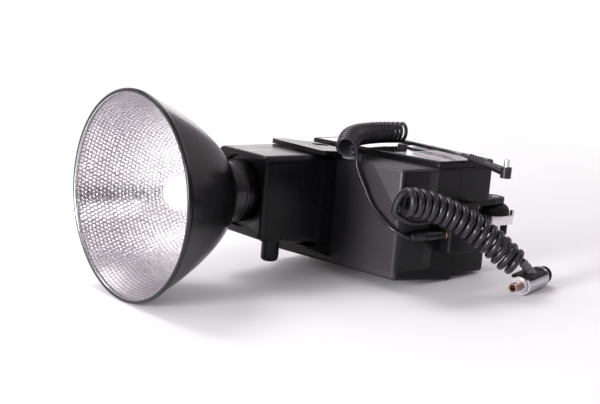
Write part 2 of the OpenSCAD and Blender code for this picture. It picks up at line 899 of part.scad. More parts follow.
module socket_housing() {
    color("#2a292c") lay() difference() {
        slab(socket_pts, socket_low_z, socket_top_z, 1.6, 1);
        translate([0, socket_mid_y, jack_z]) rotate([0, 90, 0]) rod(3.4 + running, socket_x - 1, socket_x + 14);
        translate([0, socket_mid_y, gland_z]) rotate([0, 90, 0]) rod(4.2 + running, socket_x - 1, socket_x + 3);
    }
}

module sync_socket() {
    color("#c9a24a") lay() translate([0, socket_mid_y, jack_z]) rotate([0, 90, 0]) difference() {
        rod(3.4, socket_x - 2, socket_x + 13);
        rod(1.75 + running, socket_x - 3, socket_x + 10);
    }
}

module cord_gland() {
    color("#161617") lay() translate([0, socket_mid_y, gland_z]) rotate([0, 90, 0]) {
        rod(4.2, socket_x - 0.6, socket_x + 2.8);
        translate([0, 0, socket_x - 7]) cylinder(r1 = 3.2, r2 = 4.2, h = 6.4);
    }
}

// FOOT

flange_low_z = notch_top_z - 4.5;
wheel_low_z = flange_low_z - seat - wheel_h;
plate_z = wheel_low_z - seat;
// Corners of the flange, with a narrower round tongue that carries the axis
flange_pts = [
    [notch_x + 1, -84, 2], [foot_x - 9, -84, 3], [foot_x + 6, foot_axis_y - 6, 5.9],
    [foot_x + 6, foot_axis_y + 6, 5.9], [foot_x - 9, -58, 3], [notch_x + 1, -58, 2]
];

module flange_screws(r, z0, z1) {
    for (y = [-63, -78]) translate([notch_x + 9, y, 0]) rod(r, z0, z1);
}

module foot_flange() {
    color("#141415") lay() difference() {
        slab(flange_pts, flange_low_z, notch_top_z, 0.6, 0);
        translate([foot_x, foot_axis_y, 0]) rod(3 + running, flange_low_z - 1, far);
        flange_screws(screw_r + running, -far, far);
    }
}

module foot_wheel() {
    bottom_r = wheel_d / 2;
    color("#19191a") lay() translate([foot_x, foot_axis_y, 0]) difference() {
        rotate_extrude() polygon(concat(
            [[3.3, wheel_low_z], [bottom_r, wheel_low_z]],
            [for (a = [0:15:75]) [bottom_r * (0.45 + 0.55 * cos(a)), wheel_low_z + 1.5 + (wheel_h - 1.5) * sin(a)]],
            [[bottom_r * 0.45, wheel_low_z + wheel_h], [3.3, wheel_low_z + wheel_h]]
        ));
        for (a = [0:15:345]) rotate(a) translate([bottom_r + 0.3, 0, 0]) rod(0.9, wheel_low_z - 1, wheel_low_z + 2.6);
    }
}

foot_knob_r = 3.7;
foot_knob_at = [foot_x + 6.5, foot_axis_y - 4];

module foot_plate() {
    low_z = plate_z - plate_t;
    pts = [
        [foot_x - plate_l / 2, foot_axis_y - plate_w / 2, 1.5], [plate_end, foot_axis_y - plate_w / 2, 1.5],
        [plate_end, foot_axis_y + plate_w / 2, 1.5], [foot_x - plate_l / 2, foot_axis_y + plate_w / 2, 1.5]
    ];
    color("#cfcfd2") lay() difference() {
        union() {
            slab(pts, low_z, plate_z, 0.5, 0.5);
            translate([foot_x, foot_axis_y, 0]) rod(3, plate_z - 1, notch_top_z - 0.2);
            block(plate_end - 2.2, plate_end, foot_axis_y - plate_w / 2, foot_axis_y - plate_w / 2 + 2.5, plate_z - 1, plate_z + 3.5);
            translate([foot_x - 1, foot_axis_y - 6, 0]) rod(2.2, low_z - 4.5, low_z + 1);
        }
        translate(foot_knob_at) {
            rod(1.5 + running, low_z - 1, low_z + 5);
            rod(foot_knob_r + 0.4, low_z - 1, low_z + 0.4);
        }
    }
}

module foot_knob() {
    top_z = plate_z - plate_t - seat;
    color("#19191a") lay() translate(foot_knob_at) difference() {
        union() {
            rod(1.5, top_z - 1, top_z + 4.8);
            rotate_extrude() polygon([
                [0, top_z], [foot_knob_r, top_z], [foot_knob_r, top_z - 7.4], [foot_knob_r - 1, top_z - 8.6],
                [0, top_z - 8.6]
            ]);
        }
        for (a = [0:30:330]) rotate(a) translate([foot_knob_r + 0.2, 0, 0]) rod(0.5, top_z - 9, top_z - 1);
    }
}

// CORDS

function cross_z(t) = unit([-t.y, t.x, 0]);

// A smooth curve through points p, at a place s counted in points
function through(p, s) =
    let (
        last = len(p) - 1,
        i = min(floor(s), last - 1),
        f = s - i,
        a = i > 0 ? p[i - 1] : 2 * p[0] - p[1],
        b = p[i],
        c = p[i + 1],
        d = i + 2 <= last ? p[i + 2] : 2 * p[last] - p[last - 1]
    )
    0.5 * ((2 * b) + (c - a) * f + (2 * a - 5 * b + 4 * c - d) * f * f + (3 * b - a - 3 * c + d) * f * f * f);

// The same curve as a list of points, its first and last stretch left straight
function along(p, steps) = concat(
    [p[0]],
    [for (k = [steps:steps * (len(p) - 2)]) through(p, k / steps)],
    [p[len(p) - 1]]
);

// Points of a curly cord's wire round the curve through p: it starts at angle
// `from` and makes `turns` curls, left-handed where they are negative
function curl_wire(p, r, turns, from, per_turn = 8) =
    let (n = ceil(abs(turns) * per_turn), last = len(p) - 1)
    [for (k = [0:n])
        let (
            s = last * k / n,
            t = unit(through(p, min(s + 0.01, last)) - through(p, max(s - 0.01, 0))),
            side = cross_z(t),
            up = cross(t, side),
            a = from + 360 * turns * k / n
        )
        through(p, s) + r * (cos(a) * side + sin(a) * up)];

// The wire with a straight end of one diameter at either side
function with_ends(w, d) =
    let (
        n = len(w) - 1,
        a = unit(3 * (w[0] - w[1]) - w[1] + w[2]),
        b = unit(3 * (w[n] - w[n - 1]) - w[n - 1] + w[n - 2])
    )
    concat([w[0] + d * a], w, [w[n] + d * b]);

// Frames carried along a list of points without twist: [point, side]
function frames(p) =
    let (
        n = len(p) - 1,
        t = [for (i = [0:n]) unit(p[min(i + 1, n)] - p[max(i - 1, 0)])],
        first = abs(t[0].z) < 0.9 ? cross_z(t[0]) : unit(cross([0, 1, 0], t[0]))
    )
    [for (i = 0, s = first; i <= n;
          i = i + 1, s = i <= n ? unit(s - t[min(i, n)] * (s * t[min(i, n)])) : s) [p[i], t[i], s]];

module tube(points, r, sides) {
    loft([for (f = frames(points)) let (up = cross(f[1], f[2]))
        [for (k = [0:sides - 1]) f[0] + r * (cos(360 * k / sides) * f[2] + sin(360 * k / sides) * up)]]);
}

// Least gap between turns of a wire, measured between its points
function self_gap(w, d, per_turn = 8) =
    min([for (i = [0:len(w) - 1 - per_turn + 2], j = [i + per_turn - 2:min(len(w) - 1, i + 2 * per_turn)])
        norm(w[i] - w[j]) - d]);

// Middle line of the thick cord's curls, from the body to the connector
thick_line = [
    [152, -98, 8], [169.8, -102.2, 4.8], [186.6, -108.6, -1.1], [201.2, -117.1, -9.6], [213.8, -126.8, -20],
    [223.8, -137.3, -31.6]
];
thick_turns = 15.72;
thick_mean_r = (thick_coil_d - thick_d) / 2;
thick_wire = [
    for (p = with_ends(curl_wire(thick_line, thick_mean_r, thick_turns, 0), thick_d)) laid(p)
];

// Middle line of the thin cord's curls, from its open end backwards
thin_line = [
    [147, -43, 35], [160, -31, 38.8], [175.5, -20.5, 39.6], [192.7, -13.5, 39.6], [211.3, -10, 39.4], [229.6, -12, 39.3]
];
thin_turns = -22.75;
thin_mean_r = (thin_coil_d - thin_d) / 2;
thin_wire = [
    for (p = with_ends(curl_wire(thin_line, thin_mean_r, thin_turns, 180), thin_d)) laid(p)
];
echo(thick_gap = self_gap(thick_wire, thick_d), thin_gap = self_gap(thin_wire, thin_d));
echo(thick_start = thick_wire[0], thick_end = thick_wire[len(thick_wire) - 1],
     dir = unit(thick_wire[len(thick_wire) - 1] - thick_wire[len(thick_wire) - 2]));
echo(thin_start = thin_wire[0], thin_end = thin_wire[len(thin_wire) - 1], mid = mid, lean = lean, rest = rest_z);

module thick_coil() {
    color("#2c2b2f") tube(thick_wire, thick_d / 2, 6);
}

module thin_coil() {
    color("#262528") tube(thin_wire, thin_d / 2, 6);
}

// Turns z towards direction d, seen from point p
module aimed(p, d) {
    translate(p) rotate([0, acos(d.z / norm(d)), atan2(d.y, d.x)]) children();
}

// A ribbed sleeve along z: radius r0 at the wire's end, r1 at the plug
module ribbed(r0, r1, l, ribs) {
    step = l / (ribs + 1);
    rotate_extrude() polygon(concat(
        [[0, 0]],
        [for (k = [0:ribs - 1], s = [[0, 0], [0.25, 0.5], [0.75, 0.5], [1, 0]])
            let (f = (k + s[0] * 0.9) / (ribs + 1)) [r0 + (r1 - r0) * f + s[1], step * (k + s[0] * 0.9)]],
        [[r1, step * ribs], [r1, l], [0, l]]
    ));
}

gland_end = [socket_x - 7, socket_mid_y, gland_z];
thick_first = thick_wire[0];
thick_last = thick_wire[len(thick_wire) - 1];
thick_tail_route = concat(
    [for (p = [gland_end, gland_end - [thick_d, 0, 0], [178, -91, -9], [166, -91.4, -8.5], [157, -91.4, -5]]) laid(p)],
    [thick_first - thick_d * unit(thick_wire[1] - thick_first), thick_first]
);

module thick_tail() {
    color("#2c2b2f") tube(along(thick_tail_route, 4), thick_d / 2, 8);
}

// CONNECTOR ON THE THICK CORD, lying on the surface

plug_at = [243, -135.5];
plug_yaw = 14;
plug_mid = [laid([plug_at.x, 0, under_z]).x, plug_at.y - mid.y, sleeve_r];
block_top = 6;
plug_pin_r = 3.25;
plug_core_r = 2.8;
relief_foot = plug_mid + [1, 0.5, block_top];
relief_dir = unit([-0.45, 0.45, 0.77]);
relief_l = 9;
relief_top = relief_foot + relief_l * relief_dir;

module plug_place() {
    translate(plug_mid) rotate([0, 0, plug_yaw]) children();
}

module plug_sleeve() {
    color("#d2d2d6") plug_place() difference() {
        rotate([0, 90, 0]) union() {
            rod(sleeve_r, -13, 15);
            rod(sleeve_r - 1.6, -15, -13);
        }
        rotate([0, 90, 0]) rod(plug_core_r + running, -16, 16);
        block(-13, 13, -far, far, 4, far);
    }
}

module plug_block() {
    pts = [[-12.9, -8.5, 3], [12.9, -8.5, 3], [12.9, 8.5, 3], [-12.9, 8.5, 3]];
    color("#1b1b1d") plug_place() slab(pts, 4, block_top, 0, 1.5);
}

module plug_barrel() {
    color("#b98a5e") plug_place() rotate([0, 90, 0]) difference() {
        union() {
            rod(plug_core_r, -15, 14);
            rod(plug_pin_r, -24, -15);
        }
        rod(plug_pin_r - 1, -25, -16);
    }
}

module plug_lock() {
    color("#1b1b1d") plug_place() rotate([0, 90, 0]) difference() {
        union() {
            rod(6, 15.2, 22);
            rod(plug_core_r, 14.2, 15.2);
        }
        for (a = [0:20:340]) rotate(a) translate([6.3, 0, 0]) rod(0.7, 15, 21);
    }
}

module thick_relief() {
    color("#77767b") difference() {
        aimed(relief_top, -relief_dir) ribbed(thick_d / 2 + 0.3, thick_d / 2 + 1, relief_l + 4, 3);
        rod(far, 0, plug_mid.z + block_top);
    }
}

thick_lead_route = concat(
    [thick_last, thick_last + thick_d / 2 * unit(thick_last - thick_wire[len(thick_wire) - 2])],
    [relief_top + thick_d * relief_dir, relief_top]
);

module thick_lead() {
    color("#2c2b2f") tube(along(thick_lead_route, 6), thick_d / 2, 8);
}

// PLUGS OF THE THIN CORD

jack_tail_x = socket_x - 33;
jack_tail = [jack_tail_x, socket_mid_y, jack_z];

module thin_plug() {
    r = 3.3;
    grip_x = jack_tail_x + 14;
    end_x = socket_x - 2 - seat;
    color("#1b1b1d") lay() {
        aimed(jack_tail, [1, 0, 0]) ribbed(thin_d / 2 + 0.4, thin_d / 2 + 1.4, 14, 6);
        translate([0, socket_mid_y, jack_z]) rotate([0, 90, 0]) {
            rod(r, grip_x, end_x);
            rod(1.75, end_x, socket_x + 8);
        }
    }
}

thin_first = thin_wire[0];
thin_last = thin_wire[len(thin_wire) - 1];
thin_in_route = concat(
    [for (p = [jack_tail, jack_tail - [thin_d, 0, 0], [161.6, -89.6, -17.3], [157.6, -82, -13.5], [156.8, -73.5, -8.5],
               [155.4, -64, -1], [154, -56, 11], [152.4, -50, 21]]) laid(p)],
    [thin_first - thin_d * unit(thin_wire[1] - thin_first), thin_first]
);

module thin_lead_in() {
    color("#262528") tube(along(thin_in_route, 4), thin_d / 2, 8);
}

pc_start = [222.2, -86.9, 33.2];
pc_head = [226.5, -118, 28];
pc_dir = unit(pc_head - pc_start);
pc_l = norm(pc_head - pc_start);
pc_r = 3.75;
thin_out_route = concat(
    [thin_last, thin_last + thin_d * unit(thin_last - thin_wire[len(thin_wire) - 2])],
    [for (p = [[230.4, -21, 32.6], [230, -31, 32.5], [230.5, -42, 32.5], [230.7, -56, 32.5], [227.5, -69, 33],
               pc_start - 2 * thin_d * pc_dir, pc_start]) laid(p)]
);

module thin_lead_out() {
    color("#262528") tube(along(thin_out_route, 4), thin_d / 2, 8);
}

module pc_plug() {
    color("#1b1b1d") lay() {
        aimed(pc_start, pc_dir) {
            ribbed(thin_d / 2 + 0.9, thin_d / 2 + 1.3, 16, 6);
            rod(thin_d / 2 + 1.3, 16, 20);
            translate([0, 0, 20]) cylinder(r1 = thin_d / 2 + 1.3, r2 = 3.1, h = pc_l - 20);
        }
        translate([pc_head.x, pc_head.y, 0]) rod(pc_r, pc_head.z - 4, pc_head.z + 3.5);
    }
}

module pc_tip() {
    color("#d2d2d6") lay() translate([pc_head.x, pc_head.y, pc_head.z + 3.5]) difference() {
        rod(2, 0, 5);
        rod(1.1, 1.5, 6);
    }
}

reflector_bowl();
reflector_collar();
glass_dome();
flash_tube();
tube_base();
bayonet_ring();
end_cap();
head_shell_upper();
head_shell_lower();
tilt_barrel();
trigger_coil();
knob_guide();
release_knob();
tilt_shaft();
friction_washers();
ear_upper();
ear_lower();
main_shell();
rear_shell();
side_cover();
corner_guard();
panel_housing();
panel_glass();
selector_knob();
mode_slide();
test_button();
battery_lid();
battery_cells();
battery_tray();
capacitor();
transformer();
main_board();
case_screws();
socket_housing();
sync_socket();
cord_gland();
foot_flange();
foot_wheel();
foot_plate();
foot_knob();
thick_tail();
thick_coil();
thick_lead();
thick_relief();
plug_block();
plug_sleeve();
plug_barrel();
plug_lock();
thin_plug();
thin_lead_in();
thin_coil();
thin_lead_out();
pc_plug();
pc_tip();
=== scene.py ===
import json
import math

import bmesh
import bpy
import numpy as np
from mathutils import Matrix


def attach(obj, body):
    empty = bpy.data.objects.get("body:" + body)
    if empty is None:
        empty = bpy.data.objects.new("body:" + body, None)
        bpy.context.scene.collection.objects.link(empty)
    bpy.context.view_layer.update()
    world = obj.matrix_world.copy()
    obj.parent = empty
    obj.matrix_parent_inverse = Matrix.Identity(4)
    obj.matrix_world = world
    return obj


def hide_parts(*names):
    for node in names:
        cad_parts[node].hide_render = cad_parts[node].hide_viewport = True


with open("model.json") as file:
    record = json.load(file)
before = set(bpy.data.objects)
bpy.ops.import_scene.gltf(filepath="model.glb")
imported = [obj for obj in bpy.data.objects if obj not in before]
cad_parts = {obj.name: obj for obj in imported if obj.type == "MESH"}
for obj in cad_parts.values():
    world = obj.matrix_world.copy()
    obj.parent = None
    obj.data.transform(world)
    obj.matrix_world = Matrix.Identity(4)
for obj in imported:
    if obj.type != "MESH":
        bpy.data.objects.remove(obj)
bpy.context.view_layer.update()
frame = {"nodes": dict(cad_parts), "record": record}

nodes = frame["nodes"]
print("frame loaded:", len(nodes), "nodes")

# The flash is measured with the reflector's axis along x, then leans on its rim and on the
# low back edge of the sloping side cover.
lie = {"mouthR": 70.0, "rimR": 1.6, "coverStartX": 162.0, "coverEndX": 217.5, "coverSlope": 4.5,
       "underZ": -50.6, "edgeR": 2.0, "plateEndX": 277.5, "tabTopZ": -8.1, "footY": -95.6}


# The lean lays one plane on the rim's rolled edge and on the cover's low edge: the angle of the line
# between the centres of both roundings, plus the angle whose sine is the difference of their radii
# over that line's length.
def lieOnRim():
    slope = math.radians(lie["coverSlope"])
    run = lie["coverEndX"] - lie["edgeR"] - lie["coverStartX"]
    ax = lie["coverStartX"] + run * math.cos(slope) + lie["edgeR"] * math.sin(slope) - lie["rimR"]
    rollR = lie["mouthR"] - lie["rimR"]
    az = rollR + lie["underZ"] - run * math.sin(slope) + lie["edgeR"] * math.cos(slope)
    lean = math.atan2(az, ax) + math.asin((lie["rimR"] - lie["edgeR"]) / math.hypot(ax, az))
    c, s = math.cos(lean), math.sin(lean)
    rest = lie["rimR"] * s + rollR * c + lie["rimR"]
    near = lie["rimR"] * c - rollR * s - lie["rimR"]
    reach = lie["plateEndX"] * c + lie["tabTopZ"] * s
    return c, s, (near + reach) / 2, (lie["mouthR"] + lie["footY"]) / 2, rest


leanC, leanS, midX, midY, restZ = lieOnRim()
leanTurn = np.array([[leanC, 0, leanS], [0, 1, 0], [-leanS, 0, leanC]])


# Millimetres of the flash's own axes to metres of the frame: turned by the lean, moved to the middle.
def laid(p):
    return (np.asarray(p, float) @ leanTurn.T + [-midX, -midY, restZ]) / 1000


# Vectors divided by their lengths.
def unit(v):
    v = np.asarray(v, float)
    return v / np.linalg.norm(v, axis=-1, keepdims=True)


# The camera, fitted to the photograph: its place in millimetres from the mouth's middle, its angles
# in degrees.
lookAt = {"from": (-462.4, -741.2, 195.6), "azimuth": -38.86, "pitch": 12.77, "roll": -1.47,
          "lens": 82.65, "sensor": 36, "shift": 0.004, "clip": (0.01, 20)}


def placeCamera():
    data = bpy.data.cameras.new("camera")
    data.lens = lookAt["lens"]
    data.sensor_width = lookAt["sensor"]
    data.shift_x = lookAt["shift"]
    data.clip_start, data.clip_end = lookAt["clip"]
    cam = bpy.data.objects.new("camera", data)
    cam.location = laid([0, 0, 0]) + np.array(lookAt["from"]) / 1000
    cam.rotation_euler = np.radians([90 - lookAt["pitch"], lookAt["roll"], lookAt["azimuth"]])
    bpy.context.scene.collection.objects.link(cam)
    bpy.context.scene.camera = cam


placeCamera()
print("camera placed")


# A mesh object at the origin from points and faces.
def addMesh(name, verts, faces, smooth=True):
    mesh = bpy.data.meshes.new(name)
    mesh.from_pydata(np.asarray(verts).tolist(), [], np.asarray(faces).tolist())
    mesh.polygons.foreach_set("use_smooth", np.full(len(mesh.polygons), smooth))
    mesh.update()
    obj = bpy.data.objects.new(name, mesh)
    bpy.context.scene.collection.objects.link(obj)
    return obj


# Quads between the rows and columns of a grid that closes on itself both ways.
def gridFaces(rows, cols):
    i, j = np.arange(rows)[:, None], np.arange(cols)[None, :]
    i2, j2 = (i + 1) % rows, (j + 1) % cols
    return np.stack([i * cols + j, i2 * cols + j, i2 * cols + j2, i * cols + j2], -1).reshape(-1, 4)


# A closed profile of (x, radius) points carried round the reflector's axis: y = r cos a, z = r sin a.
def revolved(profile, around):
    x, r = np.asarray(profile, float).T
    a = np.linspace(0, 2 * math.pi, around, endpoint=False)
    p = np.stack([np.repeat(x[:, None], around, 1), r[:, None] * np.cos(a), r[:, None] * np.sin(a)], -1)
    return laid(p.reshape(-1, 3)), gridFaces(len(x), around)


# How finely the cords' routes are cut: steps to a curl, between two route points, down into the
# relief, and round a quarter of the cord. Near a coil's ends the route is eased.
routing = {"perTurn": 24, "between": 12, "intoRelief": 6, "quarter": 3, "inner": 2, "held": 4, "fade": 3}


# A smooth curve through points at places s counted in points: the cubic whose slope at each
# point is half the step between its neighbours.
def through(line, s):
    p = np.asarray(line, float)
    p = np.vstack([2 * p[0] - p[1], p, 2 * p[-1] - p[-2]])
    i = np.minimum(np.floor(s).astype(int), len(p) - 4)
    f = (s - i)[:, None]
    a, b, c, d = p[i], p[i + 1], p[i + 2], p[i + 3]
    return 0.5 * (2 * b + (c - a) * f + (2 * a - 5 * b + 4 * c - d) * f**2 + (3 * b - a - 3 * c + d) * f**3)


# The same curve through all points, cut into equal steps, with both ends kept.
def along(line):
    steps = routing["between"]
    s = np.arange(steps, steps * (len(line) - 2) + 1) / steps
    return np.vstack([line[:1], through(line, s), line[-1:]])


# The curls: the point at s is the smooth line's, plus r times the cosine of its angle to the side
# and r times the sine upward, and the angle grows steadily with s.
def curls(line, r, turns, start):
    last = len(line) - 1
    s = np.linspace(0, last, int(abs(turns) * routing["perTurn"]) + 1)
    p = through(line, s)
    t = unit(through(line, np.minimum(s + 0.01, last)) - through(line, np.maximum(s - 0.01, 0)))
    side = unit(np.stack([-t[:, 1], t[:, 0], np.zeros(len(t))], -1))
    up = np.cross(t, side)
    a = np.radians(start) + 2 * math.pi * turns * s / last
    return p + r * (np.cos(a)[:, None] * side + np.sin(a)[:, None] * up)


# A line with one more point straight out past each end, d away.
def withEnds(wire, d):
    first, last = unit(wire[0] - wire[1]), unit(wire[-1] - wire[-2])
    return np.vstack([wire[0] + d * first, wire, wire[-1] + d * last])


# Both cords lie along the same points as their solids, in millimetres of the flash's own axes.
thickCord = {
    "diameter": 4.8, "shown": 5.2, "coil": 20.8, "turns": 15.72, "start": 0, "reach": 14, "softened": 30,
    "line": [(152, -98, 8), (169.8, -102.2, 4.8), (186.6, -108.6, -1.1), (201.2, -117.1, -9.6),
             (213.8, -126.8, -20), (223.8, -137.3, -31.6)],
    "tail": [(195.5, -90.3, -8.5), (190.7, -90.3, -8.5), (178, -91, -9), (166, -91.4, -8.5),
             (157, -91.4, -5)],
    "plugAt": (243, -135.5), "sleeveR": 7.5, "reliefAt": (1, 0.5, 6), "reliefLength": 9,
    "reliefWay": (-0.45, 0.45, 0.77),
}
thinCord = {
    "diameter": 2.9, "shown": 2.6, "coil": 16.2, "turns": -22.75, "start": 180, "reach": 9, "softened": 12,
    "line": [(147, -43, 35), (160, -31, 38.8), (175.5, -20.5, 39.6), (192.7, -13.5, 39.6), (211.3, -10, 39.4),
             (229.6, -12, 39.3)],
    "in": [(169.5, -90.3, -19.5), (166.6, -90.3, -19.5), (161.6, -89.6, -17.3), (157.6, -82, -13.5),
           (156.8, -73.5, -8.5), (155.4, -64, -1), (154, -56, 11), (152.4, -50, 21)],
    "out": [(230.4, -21, 32.6), (230, -31, 32.5), (230.5, -42, 32.5), (230.7, -56, 32.5), (227.5, -69, 33)],
    "plugStart": (222.2, -86.9, 33.2), "plugHead": (226.5, -118, 28),
}


# The middle of the connector's sleeve, which lies on the table.
def plugMiddle():
    at = laid([thickCord["plugAt"][0], 0, lie["underZ"]])
    return np.array([at[0], laid([0, thickCord["plugAt"][1], 0])[1], thickCord["sleeveR"] / 1000])


# The curls of one cord in metres, a diameter longer at each end.
def wireOf(cord):
    wire = curls(cord["line"], (cord["coil"] - cord["diameter"]) / 2, cord["turns"], cord["start"])
    return laid(withEnds(wire, cord["diameter"]))


# The whole route, its points near both ends of the coil averaged with their neighbours many
# times over: fully near the coil's end, not at all beyond the cord's own reach into the coil.
def joined(cord, before, wire, after):
    line = np.vstack([before, wire, after])
    i = np.arange(len(line))
    first, last = len(before), len(before) + len(wire) - 1
    inside = np.minimum(i - first, last - i)
    free = (cord["reach"] - inside) / (cord["reach"] - routing["inner"])
    free = np.minimum(free, np.minimum(i, i[::-1]) / routing["held"]).clip(0, 1)[:, None] ** routing["fade"]
    for _ in range(cord["softened"]):
        line[1:-1] += ((line[:-2] + line[2:]) / 2 - line[1:-1]) / 2 * free[1:-1]
    return line


# From the gland round the coil and straight down into the relief.
def thickRoute():
    d, relief = thickCord["diameter"] / 1000, thickCord["reliefLength"] / 1000
    wire = wireOf(thickCord)
    tail = np.vstack([laid(thickCord["tail"]), wire[0] - d * unit(wire[1] - wire[0]), wire[0]])
    way = unit(thickCord["reliefWay"])
    top = plugMiddle() + np.array(thickCord["reliefAt"]) / 1000 + relief * way
    lead = np.vstack([wire[-1], wire[-1] + d / 2 * unit(wire[-1] - wire[-2]), top + d * way, top])
    into = top + way * np.linspace(d, 0, routing["intoRelief"] + 1)[1:, None]
    return joined(thickCord, along(tail)[:-1], wire, np.vstack([along(lead)[1:-1], into]))


# From the plug in the socket round the coil and into the flat plug.
def thinRoute():
    d = thinCord["diameter"] / 1000
    wire = wireOf(thinCord)
    first = np.vstack([laid(thinCord["in"]), wire[0] - d * unit(wire[1] - wire[0]), wire[0]])
    start = np.array(thinCord["plugStart"], float)
    way = unit(np.array(thinCord["plugHead"]) - start)
    end = laid([start - 2 * thinCord["diameter"] * way, start])
    last = np.vstack([wire[-1], wire[-1] + d * unit(wire[-1] - wire[-2]), laid(thinCord["out"]), end])
    return joined(thinCord, along(first)[:-1], wire, along(last)[1:])


# A round tube along the route, its ends closed: Blender's own bevelled line, kept as a mesh.
def cordTube(name, route, diameter):
    data = bpy.data.curves.new(name, "CURVE")
    data.dimensions = "3D"
    data.bevel_depth = diameter / 2
    data.bevel_resolution = routing["quarter"]
    data.use_fill_caps = True
    line = data.splines.new("POLY")
    line.points.add(len(route) - 1)
    line.points.foreach_set("co", np.hstack([route, np.ones((len(route), 1))]).ravel())
    line.use_smooth = True
    bent = bpy.data.objects.new(name + ".line", data)
    obj = bpy.data.objects.new(name, bpy.data.meshes.new_from_object(bent))
    obj.data.name = name
    bpy.data.objects.remove(bent)
    bpy.context.scene.collection.objects.link(obj)
    return obj


# The sum of the steps from point to point.
def lengthOf(route):
    return float(np.linalg.norm(np.diff(route, axis=0), axis=1).sum())


thickPath, thinPath = thickRoute(), thinRoute()
thickCable = cordTube("thickCurlyCord", thickPath, thickCord["shown"] / 1000)
thinCable = cordTube("thinCurlyCord", thinPath, thinCord["shown"] / 1000)
for cable, solids in ((thickCable, ("thick_tail", "thick_coil", "thick_lead")),
                      (thinCable, ("thin_lead_in", "thin_coil", "thin_lead_out"))):
    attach(cable, "body")
    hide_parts(*solids)
print("cords laid:", round(lengthOf(thickPath), 3), "m and", round(lengthOf(thinPath), 3), "m")


# A socket of a node tree that can be added, multiplied and so on, each time by one Math node.
class Sig:
    def __init__(self, tree, socket):
        self.tree, self.socket = tree, socket

    def maths(self, kind, a, b=0.0):
        node = self.tree.nodes.new("ShaderNodeMath")
        node.operation = kind
        for slotAt, v in zip(node.inputs, (a, b)):
            if isinstance(v, Sig):
                self.tree.links.new(v.socket, slotAt)
            else:
                slotAt.default_value = v
        return Sig(self.tree, node.outputs[0])

    def __add__(self, o): return self.maths("ADD", self, o)
    def __radd__(self, o): return self.maths("ADD", o, self)
    def __sub__(self, o): return self.maths("SUBTRACT", self, o)
    def __rsub__(self, o): return self.maths("SUBTRACT", o, self)
    def __mul__(self, o): return self.maths("MULTIPLY", self, o)
    def __rmul__(self, o): return self.maths("MULTIPLY", o, self)
    def __truediv__(self, o): return self.maths("DIVIDE", self, o)
    def __pow__(self, o): return self.maths("POWER", self, o)
    def __gt__(self, o): return self.maths("GREATER_THAN", self, o)
    def __lt__(self, o): return self.maths("LESS_THAN", self, o)
    def floor(self): return self.maths("FLOOR", self)
    def frac(self): return self.maths("FRACT", self)
    def size(self): return self.maths("ABSOLUTE", self)
    def least(self, o): return self.maths("MINIMUM", self, o)
    def most(self, o): return self.maths("MAXIMUM", self, o)
    def held(self): return self.least(1.0).most(0.0)


# Makes and joins the nodes of one tree.
class Wiring:
    def __init__(self, tree):
        self.tree = tree

    # A node of one kind: its settings first, then its sockets, by name or as i0, i1 and so on.
    def make(self, kind, settings=None, **inputs):
        node = self.tree.nodes.new(kind)
        for key, value in (settings or {}).items():
            setattr(node, key, value)
        for key, value in inputs.items():
            numbered = key[0] == "i" and key[1:].isdigit()
            socket = node.inputs[int(key[1:]) if numbered else key]
            if isinstance(value, Sig):
                value = value.socket
            if isinstance(value, bpy.types.NodeSocket):
                self.tree.links.new(value, socket)
            else:
                socket.default_value = value
        return node

    def sig(self, socket):
        return Sig(self.tree, socket)

    def split(self, vector):
        return [self.sig(o) for o in self.make("ShaderNodeSeparateXYZ", Vector=vector).outputs]

    # Colour a where the mask is 0 and colour b where it is 1.
    def blendColour(self, mask, a, b):
        node = self.make("ShaderNodeMix", {"data_type": "RGBA"}, i0=mask)
        for socket, c in ((node.inputs[6], a), (node.inputs[7], b)):
            if isinstance(c, bpy.types.NodeSocket):
                self.tree.links.new(c, socket)
            else:
                socket.default_value = (*c, 1.0)
        return node.outputs[2]


# One material: its tree, its shader and the few nodes every finish needs.
class Finish(Wiring):
    def __init__(self, name, **constants):
        self.mat = bpy.data.materials.new(name)
        self.mat.use_nodes = True
        super().__init__(self.mat.node_tree)
        self.shader = self.tree.nodes["Principled BSDF"]
        for key, value in constants.items():
            self.shader.inputs[key.replace("_", " ")].default_value = value
        self.place = self.make("ShaderNodeTexCoord").outputs["Object"]

    def noise(self, scale, detail=2.0, rough=0.5):
        return self.sig(self.make("ShaderNodeTexNoise", Vector=self.place, Scale=scale, Detail=detail,
                                  Roughness=rough).outputs["Fac"])

    def cells(self, scale):
        return self.sig(self.make("ShaderNodeTexVoronoi", Vector=self.place, Scale=scale).outputs["Distance"])

    # A chance value that is the same all over one cell of a grid.
    def chance(self, a, b):
        cell = self.make("ShaderNodeCombineXYZ", X=a.floor(), Y=b.floor()).outputs[0]
        return self.sig(self.make("ShaderNodeTexWhiteNoise", Vector=cell).outputs["Value"])

    # Coordinates turned back into the flash's own axes, in millimetres.
    def ownAxes(self):
        flat = self.make("ShaderNodeMapping", Vector=self.place, Location=(midX, midY, -restZ),
                         Scale=(1000, 1000, 1000))
        turned = self.make("ShaderNodeMapping", Vector=flat.outputs[0],
                           Rotation=(0, -math.atan2(leanS, leanC), 0))
        return self.split(turned.outputs[0])

    def set(self, key, value):
        self.tree.links.new(value.socket if isinstance(value, Sig) else value, self.shader.inputs[key])

    def bump(self, height, strength, distance):
        node = self.make("ShaderNodeBump", Height=height, Strength=strength, Distance=distance)
        self.set("Normal", node.outputs[0])


# A piece in one finish all over.
def wear(obj, finish):
    obj.data.materials.clear()
    obj.data.materials.append(finish.mat)


